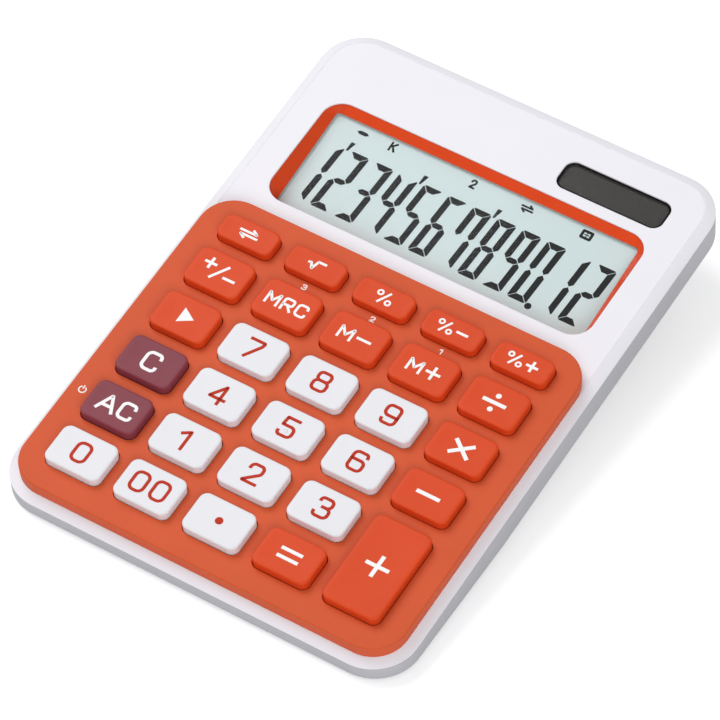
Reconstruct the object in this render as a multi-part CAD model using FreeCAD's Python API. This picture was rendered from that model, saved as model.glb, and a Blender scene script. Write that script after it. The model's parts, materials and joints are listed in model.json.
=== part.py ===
import FreeCAD, Part
import math
import os

# Desk calculator, millimetres.
# The pieces are drawn in the body's own frame: x to the right, y from the front edge to the back,
# z along the keypad's normal with zero on the white top surface. At the end everything is leaned
# back by stand_tilt, so that the row frame has +Z up, the display end at +Y and z = 0 on the desk.

Vector = FreeCAD.Vector

# ---- casing ----
body_width = 104.5
body_length = 150.5
body_corner = 11.0
edge_band = 2.45          # width of the bevel between the flat top and the casing joint
edge_drop = 1.35          # height of that bevel
body_depth = 9.7          # flat top to underside
front_depth = 4.83        # flat top to underside at the front edge
nose_tilt = 4.85          # degrees between the front stretch of the underside and the top
bottom_bevel = 0.9
wall = 1.8
top_thick = 1.6
floor_thick = 1.5
nose_floor = 1.3
lip_thick = 1.2
lip_drop = 1.6            # how far the upper casing's lip reaches below its top plate
lip_gap = 0.15

# ---- how it stands ----
stand_tilt = 6.6          # degrees
desk_drop = 5.145         # flat top to desk, along the normal, at the front edge
foot_radius = 4.0
foot_inset = 0.6          # depth of a foot's seat in the plastic
foot_gap = 0.15           # between a foot and the wall of its seat
foot_side = 40.0
front_foot_back = 9.5
rear_foot_back = 133.0
leg_width = 17.0
leg_length = 14.0
leg_corner = 3.0
leg_wall = 1.6
leg_reach = 40.0          # more than a leg's height, for blocks that are cut to length
foot_proud = 0.7          # how far a foot stands out of its leg
rear_foot_side = 35.0

# ---- keypad panel ----
panel_length = 89.4
panel_height = 3.2
panel_corner = 8.5
panel_thick = 1.5
panel_wall = 1.6
panel_bevel = 0.35
panel_seat = 2.6          # width of casing under the panel's rim
seat_rib = 1.5
panel_lip = 1.0
fit_gap = 0.1

# ---- keys ----
column_pitch = 18.12
row_pitch = 14.15
top_row_pitch = 12.4
first_row = 13.9          # front edge to the centre of the front row
key_width = 14.43
key_length = 10.48
short_key_length = 7.0
key_corner = 2.0
key_rise = 2.04           # top of a key above the panel
key_bevel = 0.35
key_gap = 0.3             # running gap between key and panel
key_travel = 1.2
key_wall = 1.1
key_roof = 1.3
flange_width = 0.8
flange_thick = 0.7
flange_gap = 0.3
stem_radius = 2.0
five_dot_radius = 0.45
five_dot_rise = 0.25
five_dot_back = -1.1        # from the key's centre towards the display

# ---- rubber mat and board ----
board_top = -3.1
board_thick = 1.0
board_side_gap = 0.2
board_front = 8.6
board_back = 93.5
board_corner = 3.0
mat_thick = 0.6
mat_margin = 0.2
dome_height = 2.0         # board to the top of a dome less the sheet
dome_base = 3.6
dome_crown = 2.3
dome_wall = 0.6
dome_roof = 1.0
stem_gap = 0.3
pill_radius = 1.4
pill_thick = 0.7
pad_radius = 2.5
pad_thick = 0.08
pad_split = 0.5
boss_radius = 2.1
boss_mat_gap = 0.3
screw_radius = 0.8
screw_hole_gap = 0.2
screw_head_radius = 1.6
screw_head_thick = 0.8
screw_bite = 2.6
case_head_radius = 1.9
case_head_thick = 1.2
case_post_radius = 2.9
case_seat_thick = 1.3
corner_screw_side = 46.2
corner_screw_back = 144.2
corner_boss_radius = 2.0
corner_boss_drop = 5.0
post_radius = 1.6
post_places = [(-38.0, 63.4), (38.0, 63.4), (0.0, 63.4), (38.0, 86.0), (0.0, 88.0)]

# ---- display ----
bezel_width = 85.5
bezel_front = 97.64
bezel_length = 32.0
bezel_corner = 5.2
bezel_lip = 0.3           # thickness of the frame's upper edge
bezel_flange = 1.5
bezel_flange_thick = 1.0
glass_front_depth = 4.94
glass_back_depth = 1.89
view_width = 81.1
view_front = 1.3
view_back = 2.05
view_corner = 1.2
pane_thick = 0.7
pane_margin = 0.5
lcd_plate = 0.7
lcd_ledge = 2.2
reflector_thick = 0.1
tray_gap = 0.1
tray_wall = 0.9
tray_lip = 0.7
tray_lip_width = 2.2
ear_length = 4.4
ear_width = 3.6
ear_thick = 1.0
ear_place = 14.0
ribbon_width = 70.0
ribbon_thick = 0.15
ribbon_overlap = 3.0

# ---- solar cell ----
solar_left = 14.6
solar_width = 27.8
solar_front = 132.73
solar_length = 8.32
solar_corner = 2.6
solar_sink = 0.5          # depth of the cell's window below the top
solar_margin = 0.8
solar_pane_thick = 0.8
solar_cell_thick = 1.1
solar_rib = 0.5
solar_rib_drop = 1.0
wire_radius = 0.45

# ---- power ----
cell_radius = 10.0
cell_thick = 2.5
cell_place = (-25.0, 77.0)
strip_thick = 0.3
strip_width = 5.0
cell_gap = 0.4
cell_ring = 1.2
cover_length = 25.0
cover_gap = 0.2
cover_ledge = 1.2
cover_pad = 4.0
cover_screw_out = 2.6
chip_place = (22.0, 77.0)
chip_radius = 5.0
chip_height = 1.2
capacitor_radius = 1.85
capacitor_length = 7.5
capacitor_place = (-2.0, 78.0)

# ---- what follows from them ----
panel_width = body_width - 2 * edge_band
panel_front = edge_band
panel_back = panel_front + panel_length
panel_under = panel_height - panel_thick
key_top = panel_height + key_rise
flange_top = panel_under - flange_gap
flange_low = flange_top - flange_thick
mat_top = board_top + mat_thick
dome_top = mat_top + dome_height
stem_low = dome_top + stem_gap
board_low = board_top - board_thick
opening_width = panel_width - 2 * panel_seat
opening_front = panel_front + panel_seat
opening_back = panel_back - panel_seat
opening_corner = panel_corner - panel_seat
joint_level = -edge_drop
floor_top = -body_depth + floor_thick
glass_tilt = math.degrees(math.atan2(glass_front_depth - glass_back_depth, bezel_length))
glass_run = bezel_length / math.cos(math.radians(glass_tilt))

rows = [first_row + i * row_pitch for i in range(5)]
rows.append(rows[4] + top_row_pitch)
columns = [(i - 2) * column_pitch for i in range(5)]

key_names = [
    ["key_0", "key_00", "key_point", "key_equals", None],
    ["key_all_clear", "key_1", "key_2", "key_3", None],
    ["key_clear", "key_4", "key_5", "key_6", "key_minus"],
    ["key_shift_right", "key_7", "key_8", "key_9", "key_times"],
    ["key_sign", "key_memory_recall", "key_memory_minus", "key_memory_plus", "key_divide"],
    ["key_memory_swap", "key_root", "key_percent", "key_rate_minus", "key_rate_plus"],
]

# crossings of the gaps between the keys, where there is room for a boss
gap_rows = [(rows[i] + rows[i + 1]) / 2 for i in range(5)]
gap_columns = [(columns[i] + columns[i + 1]) / 2 for i in range(4)]
board_screw_places = [
    (gap_columns[1], gap_rows[0]), (gap_columns[2], gap_rows[0]),
    (gap_columns[1], gap_rows[2]), (gap_columns[2], gap_rows[2]),
    (gap_columns[0], gap_rows[3]), (gap_columns[3], gap_rows[3]),
]
middle_screw_places = [(gap_columns[0], gap_rows[1]), (gap_columns[3], gap_rows[1])]
corner_screw_places = [(-corner_screw_side, corner_screw_back), (corner_screw_side, corner_screw_back)]


def rounded_wire(x0, x1, y0, y1, radius, z):
    """Closed wire of a rectangle with round corners, starting at the front edge."""
    r = radius
    c = r * math.cos(math.radians(45))
    lines = [
        (Vector(x0 + r, y0, z), Vector(x1 - r, y0, z)),
        (Vector(x1, y0 + r, z), Vector(x1, y1 - r, z)),
        (Vector(x1 - r, y1, z), Vector(x0 + r, y1, z)),
        (Vector(x0, y1 - r, z), Vector(x0, y0 + r, z)),
    ]
    middles = [
        Vector(x1 - r + c, y0 + r - c, z),
        Vector(x1 - r + c, y1 - r + c, z),
        Vector(x0 + r - c, y1 - r + c, z),
        Vector(x0 + r - c, y0 + r - c, z),
    ]
    edges = []
    for i in range(4):
        start, end = lines[i]
        following = lines[(i + 1) % 4][0]
        edges.append(Part.LineSegment(start, end).toShape())
        edges.append(Part.Arc(end, middles[i], following).toShape())
    return Part.Wire(edges)


def plate(x0, x1, y0, y1, radius, low, high):
    face = Part.Face(rounded_wire(x0, x1, y0, y1, radius, low))
    return face.extrude(Vector(0, 0, high - low))


def taper(low_box, low_radius, low, high_box, high_radius, high):
    wires = [rounded_wire(*low_box, low_radius, low), rounded_wire(*high_box, high_radius, high)]
    return Part.makeLoft(wires, True, True)


def box(x0, x1, y0, y1, low, high):
    return Part.makeBox(x1 - x0, y1 - y0, high - low, Vector(x0, y0, low))


def disc(x, y, radius, low, high):
    return Part.makeCylinder(radius, high - low, Vector(x, y, low))


def fuse_all(shapes):
    result = shapes[0]
    for shape in shapes[1:]:
        result = result.fuse(shape)
    return result.removeSplitter()


def cut_all(shape, tools):
    for tool in tools:
        shape = shape.cut(tool)
    return shape


def leaned(shape, origin_y, origin_z, degrees):
    """Turns a shape drawn about the origin around x and moves it to its place."""
    copy = shape.copy()
    copy.rotate(Vector(0, 0, 0), Vector(1, 0, 0), degrees)
    copy.translate(Vector(0, origin_y, origin_z))
    return copy


def on_glass(shape):
    """Places a shape drawn in the display's own frame: y from the front of the opening, z up off the pane."""
    return leaned(shape, bezel_front, -glass_front_depth, glass_tilt)


def below_nose(offset):
    """Everything below the front stretch of the underside, raised by offset."""
    block = box(-body_width, body_width, -20.0, body_length * 2, -60.0, 0.0)
    return leaned(block, 0.0, -front_depth + offset, -nose_tilt)


def on_desk(shape):
    """Places a shape drawn in the desk's frame: y along the desk from the front edge, z up from the desk."""
    return leaned(shape, 0.0, -desk_drop, -stand_tilt)


def inset_box(inset):
    half = body_width / 2 - inset
    return (-half, half, inset, body_length - inset)


def key_places():
    """Name, centre x, centre y, length and stem places of every key."""
    places = []
    for row, names in enumerate(key_names):
        for column, name in enumerate(names):
            if name is None:
                continue
            length = short_key_length if row == 5 else key_length
            centre = (columns[column], rows[row])
            places.append((name, centre[0], centre[1], length, [centre]))
    tall_y = (rows[0] + rows[1]) / 2
    stems = [(columns[4], rows[0]), (columns[4], rows[1])]
    places.append(("key_plus", columns[4], tall_y, key_length + row_pitch, stems))
    return places


keys = key_places()
stem_places = [stem for key in keys for stem in key[4]]


def key_box(x, y, length, grow):
    half = key_width / 2 + grow
    return (x - half, x + half, y - length / 2 - grow, y + length / 2 + grow)


def make_key(name, x, y, length, stems):
    cap = plate(*key_box(x, y, length, 0), key_corner, flange_low, key_top - key_bevel)
    edge = taper(key_box(x, y, length, 0), key_corner, key_top - key_bevel,
                 key_box(x, y, length, -key_bevel), key_corner - key_bevel, key_top)
    flange = plate(*key_box(x, y, length, flange_width), key_corner + flange_width, flange_low, flange_top)
    hollow = plate(*key_box(x, y, length, -key_wall), key_corner - key_wall, flange_low, key_top - key_roof)
    shape = fuse_all([cap, edge, flange]).cut(hollow)
    posts = [disc(sx, sy, stem_radius, stem_low, key_top - key_roof) for sx, sy in stems]
    parts = [shape] + posts
    if name == "key_5":
        parts.append(Part.makeCone(five_dot_radius, five_dot_radius / 2, five_dot_rise,
                                   Vector(x, y + five_dot_back, key_top)))
    return fuse_all(parts)


def make_face_panel():
    outline = (-panel_width / 2, panel_width / 2, panel_front, panel_back)
    top = (outline[0] + panel_bevel, outline[1] - panel_bevel, outline[2] + panel_bevel, outline[3] - panel_bevel)
    skin = plate(*outline, panel_corner, 0.0, panel_height - panel_bevel)
    edge = taper(outline, panel_corner, panel_height - panel_bevel, top, panel_corner - panel_bevel, panel_height)
    room = plate(outline[0] + panel_wall, outline[1] - panel_wall, outline[2] + panel_wall,
                 outline[3] - panel_wall, panel_corner - panel_wall, 0.0, panel_under)
    half = opening_width / 2 - fit_gap
    front = opening_front + fit_gap
    back = opening_back - fit_gap
    corner = opening_corner - fit_gap
    lip = plate(-half, half, front, back, corner, -panel_lip, panel_under)
    lip_room = plate(-half + lip_thick, half - lip_thick, front + lip_thick, back - lip_thick,
                     corner - lip_thick, -panel_lip, panel_under)
    shape = fuse_all([fuse_all([skin, edge]).cut(room), lip.cut(lip_room)])
    for name, x, y, length, stems in keys:
        shape = shape.cut(plate(*key_box(x, y, length, key_gap), key_corner + key_gap, panel_under, panel_height))
    places = board_screw_places + middle_screw_places
    shape = fuse_all([shape] + [disc(x, y, boss_radius, board_top, panel_under) for x, y in places])
    return cut_all(shape, [disc(x, y, screw_radius, board_top, board_top + screw_bite) for x, y in places])


def make_upper_casing():
    base = plate(*inset_box(0), body_corner, joint_level, joint_level + 0.05)
    band = taper(inset_box(0), body_corner, joint_level + 0.05, inset_box(edge_band), body_corner - edge_band, 0.0)
    lip_outer = wall + lip_gap
    inner = plate(*inset_box(lip_outer), body_corner - lip_outer, -top_thick - lip_drop, joint_level)
    shape = fuse_all([base, band, inner])
    lip_inner = lip_outer + lip_thick
    shape = shape.cut(plate(*inset_box(lip_inner), body_corner - lip_inner, -top_thick - lip_drop, -top_thick))
    half = opening_width / 2
    rib = plate(-half - seat_rib, half + seat_rib, opening_front - seat_rib + fit_gap, opening_back + seat_rib,
                opening_corner + seat_rib, board_top, -top_thick)
    bosses = [disc(x, y, corner_boss_radius, -corner_boss_drop, -top_thick) for x, y in corner_screw_places]
    for x, y, depth in ear_screw_places():
        bosses.append(disc(x, y, ear_width / 2 - 0.1, -depth, -top_thick))
    sx0, sx1, sy0, sy1 = solar_box(solar_margin + solar_rib)
    pocket_wall = plate(sx0, sx1, sy0, sy1, solar_corner, -top_thick - solar_rib_drop, -top_thick)
    shape = fuse_all([shape, rib, pocket_wall] + bosses)
    shape = shape.cut(plate(-half, half, opening_front, opening_back, opening_corner, board_top, 0.0))
    shape = shape.cut(plate(*bezel_box(0), bezel_corner, -top_thick, 0.0))
    shape = shape.cut(plate(*solar_box(0), solar_corner, -top_thick, 0.0))
    shape = shape.cut(box(*solar_box(solar_margin), -top_thick - solar_rib_drop, -solar_sink))
    pilots = [disc(x, y, screw_radius, -corner_boss_drop, -top_thick) for x, y in corner_screw_places]
    for x, y, depth in ear_screw_places():
        pilots.append(disc(x, y, screw_radius, -depth, -top_thick))
    return cut_all(shape, pilots)


def solar_box(grow):
    return (solar_left - grow, solar_left + solar_width + grow, solar_front - grow, solar_front + solar_length + grow)


def bezel_box(grow):
    return (-bezel_width / 2 - grow, bezel_width / 2 + grow, bezel_front - grow, bezel_front + bezel_length + grow)


def glass_level(y):
    """Height of the pane's upper face at y."""
    return -glass_front_depth + (y - bezel_front) * math.tan(math.radians(glass_tilt))


pane_half = bezel_width / 2 + pane_margin
tray_half = pane_half + tray_gap + tray_wall
stack_depth = pane_thick + 2 * lcd_plate + reflector_thick
ear_y = bezel_front + ear_place


def ear_screw_places():
    """x, y and depth of the top of the tray's two ears."""
    x = tray_half + ear_length / 2
    depth = -glass_level(ear_y) + stack_depth - ear_thick
    return [(-x, ear_y, depth), (x, ear_y, depth)]


def make_display_bezel():
    body = plate(*bezel_box(-fit_gap / 2), bezel_corner, -glass_front_depth - 1.0, 0.0)
    flange = plate(*bezel_box(bezel_flange), bezel_corner + bezel_flange, -top_thick - bezel_flange_thick, -top_thick)
    shape = fuse_all([body, flange])
    under = box(-body_width, body_width, -40.0, 90.0, -40.0, 0.0)
    shape = shape.cut(on_glass(under))
    top = rounded_wire(*bezel_box(-bezel_lip), bezel_corner - bezel_lip, 0.0)
    low = on_glass(rounded_wire(-view_width / 2, view_width / 2, view_front, glass_run - view_back, view_corner, 0.0))
    return shape.cut(Part.makeLoft([low, top], True, True))


def make_display_window():
    return on_glass(box(-pane_half, pane_half, -pane_margin, glass_run + pane_margin, -pane_thick, 0.0))


def make_lcd_glass():
    front = box(-pane_half, pane_half, lcd_ledge - pane_margin, glass_run + pane_margin,
                -pane_thick - lcd_plate, -pane_thick)
    back = box(-pane_half, pane_half, -pane_margin, glass_run + pane_margin,
               -pane_thick - 2 * lcd_plate, -pane_thick - lcd_plate)
    return on_glass(front.fuse(back).removeSplitter())


def make_lcd_reflector():
    return on_glass(box(-pane_half, pane_half, lcd_ledge - pane_margin, glass_run + pane_margin,
                        -stack_depth, -stack_depth + reflector_thick))


def make_lcd_tray():
    inner = pane_half + tray_gap
    front = -pane_margin - tray_gap
    back = glass_run + pane_margin + tray_gap
    outer = box(-tray_half, tray_half, front - tray_wall, back + tray_wall, -stack_depth - tray_lip, -0.2)
    room = box(-inner, inner, front, back, -stack_depth, 0.0)
    window = box(-inner + tray_lip_width, inner - tray_lip_width, front + tray_lip_width,
                 back - tray_lip_width, -stack_depth - tray_lip, 0.0)
    notch = box(-ribbon_width / 2 - 1.0, ribbon_width / 2 + 1.0, front - 2 * tray_wall, front + 0.1,
                -pane_thick - 2 * lcd_plate, 0.0)
    ears = []
    holes = []
    ear_run = ear_place / math.cos(math.radians(glass_tilt))
    for side in (-1, 1):
        near = side * (tray_half - 0.3)
        far = side * (tray_half + ear_length)
        ears.append(box(min(near, far), max(near, far), ear_run - ear_width, ear_run + ear_width,
                        -stack_depth, -stack_depth + ear_thick))
    tray = fuse_all([outer.cut(room).cut(window).cut(notch)] + ears)
    tray = on_glass(tray)
    for x, y, depth in ear_screw_places():
        # the boss ends in a seat cut level into the leaning ear
        holes.append(disc(x, y, ear_width / 2, -depth, -depth + 2 * ear_thick))
        holes.append(disc(x, y, screw_radius + screw_hole_gap, -depth - 2 * ear_thick, -depth))
        holes.append(disc(x, y, screw_head_radius + 0.1, -depth - 3 * ear_thick, -depth - 0.6))
    return cut_all(tray, holes)


def make_screw(x, y, head_low, head_thick, head_radius, tip):
    """Pan head below, shank up to tip, cross slot in the head."""
    head = disc(x, y, head_radius, head_low, head_low + head_thick)
    shank = disc(x, y, screw_radius, head_low + head_thick, tip)
    arm = head_radius * 0.6
    slot = head_radius * 0.13
    depth = head_thick * 0.5
    cross = [box(x - arm, x + arm, y - slot, y + slot, head_low, head_low + depth),
             box(x - slot, x + slot, y - arm, y + arm, head_low, head_low + depth)]
    return cut_all(head.fuse(shank).removeSplitter(), cross)


def make_tray_screws():
    shapes = []
    for x, y, depth in ear_screw_places():
        shapes.append(make_screw(x, y, -depth - 0.6 - screw_head_thick, screw_head_thick, screw_head_radius,
                                 -depth + 2.2))
    return Part.makeCompound(shapes)


def make_board_screws():
    shapes = [make_screw(x, y, board_low - screw_head_thick, screw_head_thick, screw_head_radius,
                         board_top + screw_bite - 0.2) for x, y in board_screw_places]
    return Part.makeCompound(shapes)


def nose_level(y):
    return max(-body_depth, -front_depth - y * math.tan(math.radians(nose_tilt)))


def middle_head_low(y):
    return board_low - case_seat_thick - case_head_thick


def make_case_screws():
    shapes = []
    for x, y in middle_screw_places:
        shapes.append(make_screw(x, y, middle_head_low(y), case_head_thick, case_head_radius,
                                 board_top + screw_bite - 0.2))
    for x, y in corner_screw_places:
        head_low = -corner_boss_drop - case_seat_thick - case_head_thick
        shapes.append(make_screw(x, y, head_low, case_head_thick, case_head_radius, -top_thick - 0.4))
    return Part.makeCompound(shapes)


def make_circuit_board():
    half = opening_width / 2 + seat_rib + board_side_gap
    shape = plate(-half, half, board_front, board_back, board_corner, board_low, board_top)
    places = board_screw_places + middle_screw_places
    return cut_all(shape, [disc(x, y, screw_radius + screw_hole_gap, board_low, board_top) for x, y in places])


def make_key_mat():
    half = opening_width / 2 - mat_margin
    shape = plate(-half, half, board_front + mat_margin, opening_back - mat_margin, opening_corner - mat_margin,
                  board_top, mat_top)
    domes = [Part.makeCone(dome_base, dome_crown, dome_height, Vector(x, y, mat_top)) for x, y in stem_places]
    shape = fuse_all([shape] + domes)
    room_height = dome_top - dome_roof - board_top
    rooms = [Part.makeCone(dome_base - dome_wall, dome_crown - dome_wall, room_height, Vector(x, y, board_top))
             for x, y in stem_places]
    places = board_screw_places + middle_screw_places
    holes = [disc(x, y, boss_radius + boss_mat_gap, board_top, mat_top) for x, y in places]
    return cut_all(shape, rooms + holes)


def make_contact_pills():
    level = dome_top - dome_roof
    return Part.makeCompound([disc(x, y, pill_radius, level - pill_thick, level) for x, y in stem_places])


def make_contact_pads():
    shapes = []
    for x, y in stem_places:
        pad = disc(x, y, pad_radius, board_top, board_top + pad_thick)
        slot = box(x - pad_split / 2, x + pad_split / 2, y - pad_radius, y + pad_radius, board_top, board_top + pad_thick)
        shapes += pad.cut(slot).Solids
    return Part.makeCompound(shapes)


def make_display_ribbon():
    """Flexible strip from the underside of the board to the ledge of the display's rear glass."""
    y0 = board_back - ribbon_overlap
    y1 = board_back + 0.4
    ledge_y = bezel_front - pane_margin + 0.3
    ledge_run = lcd_ledge - 0.6
    slope = math.tan(math.radians(glass_tilt))
    ledge_z = glass_level(ledge_y) - (pane_thick + lcd_plate) / math.cos(math.radians(glass_tilt))
    t = ribbon_thick
    upper = [(y0, board_low), (y1, board_low), (ledge_y, ledge_z + t), (ledge_y + ledge_run, ledge_z + ledge_run * slope + t)]
    points = [Vector(-ribbon_width / 2, y, z) for y, z in upper]
    points += [Vector(-ribbon_width / 2, y, z - t) for y, z in reversed(upper)]
    face = Part.Face(Part.makePolygon(points + [points[0]]))
    return face.extrude(Vector(ribbon_width, 0, 0))


def make_solar_window():
    return box(*solar_box(solar_margin - fit_gap), -solar_sink - solar_pane_thick, -solar_sink)


def make_solar_cell():
    top = -solar_sink - solar_pane_thick
    return box(*solar_box(solar_margin - fit_gap), top - solar_cell_thick, top)


def tube_along(points, radius):
    """Round wire on straight runs joined by tangent arcs, each as large as its two runs allow."""
    corners = []
    for i in range(1, len(points) - 1):
        before = points[i - 1] - points[i]
        after = points[i + 1] - points[i]
        turn = math.pi - before.getAngle(after)
        shorter = min(before.Length, after.Length)
        reach = 0.45 * shorter
        bend = reach / math.tan(turn / 2)
        start = points[i] + before * (reach / before.Length)
        end = points[i] + after * (reach / after.Length)
        inward = (before * (1 / before.Length)) + (after * (1 / after.Length))
        inward = inward * (1 / inward.Length)
        middle = points[i] + inward * (math.hypot(bend, reach) - bend)
        corners.append((start, middle, end))
    edges = []
    last = points[0]
    for start, middle, end in corners:
        edges.append(Part.LineSegment(last, start).toShape())
        edges.append(Part.Arc(start, middle, end).toShape())
        last = end
    edges.append(Part.LineSegment(last, points[-1]).toShape())
    path = Part.Wire(edges)
    profile = Part.Wire([Part.makeCircle(radius, points[0], points[1] - points[0])])
    return path.makePipeShell([profile], True, False)


def make_solar_wire(order):
    """Lead from the solar cell round the display to the board; order 0 or 1 keeps the two apart."""
    cell_low = -solar_sink - solar_pane_thick - solar_cell_thick
    start_z = cell_low - wire_radius
    end_z = board_low - wire_radius
    lane_x = body_width / 2 - wall - 2 * wire_radius
    lane_z = -top_thick - lip_drop - 1.2 - order * 1.3
    start_y = solar_front + solar_length * (0.35 + 0.4 * order)
    end_x = opening_width / 2 - 4.0 - order * 2.5
    points = [
        Vector(solar_left + solar_width - 4.0, start_y, start_z),
        Vector(solar_left + solar_width - 1.0, start_y, start_z - 0.4),
        Vector(lane_x - 2.5, start_y - 1.5, lane_z),
        Vector(lane_x, start_y - 6.0, lane_z),
        Vector(lane_x, board_back + 8.0, lane_z),
        Vector(lane_x - 1.5, board_back + 2.5 + order * 1.2, lane_z),
        Vector(end_x + 1.0, board_back - 1.5 + order * 0.7, end_z - 0.2),
        Vector(end_x, board_back - 5.0 + order * 0.7, end_z),
    ]
    return tube_along(points, wire_radius)


def make_processor_chip():
    x, y = chip_place
    bulge = (chip_radius ** 2 + chip_height ** 2) / (2 * chip_height)
    ball = Part.makeSphere(bulge, Vector(x, y, board_low - chip_height + bulge))
    return ball.common(box(x - 2 * chip_radius, x + 2 * chip_radius, y - 2 * chip_radius, y + 2 * chip_radius,
                           board_low - chip_height, board_low))


def make_capacitor():
    x, y = capacitor_place
    start = Vector(x - capacitor_length / 2, y, board_low - capacitor_radius)
    can = Part.makeCylinder(capacitor_radius, capacitor_length, start, Vector(1, 0, 0))
    groove = Part.makeTorus(capacitor_radius + 0.1, 0.35, start + Vector(capacitor_length * 0.85, 0, 0), Vector(1, 0, 0))
    return can.cut(groove)


cell_high = board_low - strip_thick
cell_low = cell_high - cell_thick


def make_button_cell():
    x, y = cell_place
    can = disc(x, y, cell_radius, cell_low, cell_high - 0.5)
    cap = disc(x, y, cell_radius - 1.3, cell_high - 0.5, cell_high)
    return can.fuse(cap).removeSplitter()


def make_battery_top_contact():
    x, y = cell_place
    return box(x - cell_radius * 0.6, x + cell_radius * 0.6, y - strip_width / 2, y + strip_width / 2,
               board_low - strip_thick, board_low)


def make_battery_side_contact():
    x, y = cell_place
    near = x + cell_radius
    foot = box(near, near + 3.0, y - strip_width / 2, y + strip_width / 2, board_low - strip_thick, board_low)
    blade = box(near, near + strip_thick, y - strip_width / 2, y + strip_width / 2, cell_low, board_low)
    return foot.fuse(blade).removeSplitter()


def cover_box(grow):
    x, y = cell_place
    half = cover_length / 2 + grow
    return (x - half, x + half, y - half - 2 * cover_screw_out, y + half)


def cover_screw_place():
    x, y = cell_place
    return (x, y - cover_length / 2 - cover_screw_out + 0.2)


cover_plate = 1.0


def make_battery_cover():
    low = -body_depth
    shape = plate(*cover_box(-cover_gap), 1.5, low, low + cover_plate)
    x, y = cell_place
    pad = disc(x, y, cover_pad, low + cover_plate, cell_low)
    sx, sy = cover_screw_place()
    shape = fuse_all([shape, pad])
    return cut_all(shape, [disc(sx, sy, screw_radius + screw_hole_gap, low, low + cover_plate),
                           Part.makeCone(screw_head_radius + 0.1, screw_radius + screw_hole_gap, 0.5, Vector(sx, sy, low))])


def make_battery_cover_screw():
    sx, sy = cover_screw_place()
    low = -body_depth
    head = Part.makeCone(screw_head_radius, screw_radius, 0.5, Vector(sx, sy, low + 0.05))
    shank = disc(sx, sy, screw_radius, low + 0.55, low + cover_plate + 2.4)
    slot = box(sx - screw_head_radius * 0.6, sx + screw_head_radius * 0.6, sy - 0.2, sy + 0.2, low + 0.05, low + 0.3)
    return head.fuse(shank).removeSplitter().cut(slot)


def desk_y(y):
    """Distance along the desk of a point of the underside at y."""
    tilt = math.radians(stand_tilt)
    return y * math.cos(tilt) - (nose_level(y) + desk_drop) * math.sin(tilt)


front_seat = foot_inset + (nose_level(front_foot_back) + desk_drop + front_foot_back * math.tan(math.radians(stand_tilt)))


def foot_places():
    """x, desk y and seat height of the feet, front pair then rear pair."""
    front = [(side * foot_side, desk_y(front_foot_back), front_seat) for side in (-1, 1)]
    rear = [(side * rear_foot_side, desk_y(rear_foot_back), foot_proud + foot_inset) for side in (-1, 1)]
    return front, rear


def make_feet(places):
    shapes = []
    for x, y, seat in places:
        pad = disc(x, y, foot_radius, 0.3, seat)
        edge = Part.makeCone(foot_radius - 0.3, foot_radius, 0.3, Vector(x, y, 0.0))
        shapes.append(on_desk(pad.fuse(edge).removeSplitter()))
    return Part.makeCompound(shapes)


def leg_block(x, y, inset, low):
    """Upright block of a leg's outline, drawn in from it on each side."""
    half_x = leg_width / 2 - inset
    half_y = leg_length / 2 - inset
    return plate(x - half_x, x + half_x, y - half_y, y + half_y, max(leg_corner - inset, 0.5), low, leg_reach)


def make_rear_legs():
    """Hollow legs, each with a tongue that is pressed into the floor of the casing."""
    over_floor = box(-body_width, body_width, 0.0, 2 * body_length, -body_depth, leg_reach)
    over_tongue = box(-body_width, body_width, 0.0, 2 * body_length, floor_top, leg_reach)
    shapes = []
    for x, y, seat in foot_places()[1]:
        post = on_desk(leg_block(x, y, 0.0, foot_proud)).cut(over_floor)
        tongue = on_desk(leg_block(x, y, leg_wall, foot_proud)).cut(over_tongue)
        core = on_desk(leg_block(x, y, 2 * leg_wall, seat + leg_wall))
        foot_seat = on_desk(disc(x, y, foot_radius + foot_gap, -foot_radius, seat))
        shapes.append(cut_all(fuse_all([post, tongue]), [core, foot_seat]))
    return Part.makeCompound(shapes)


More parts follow.
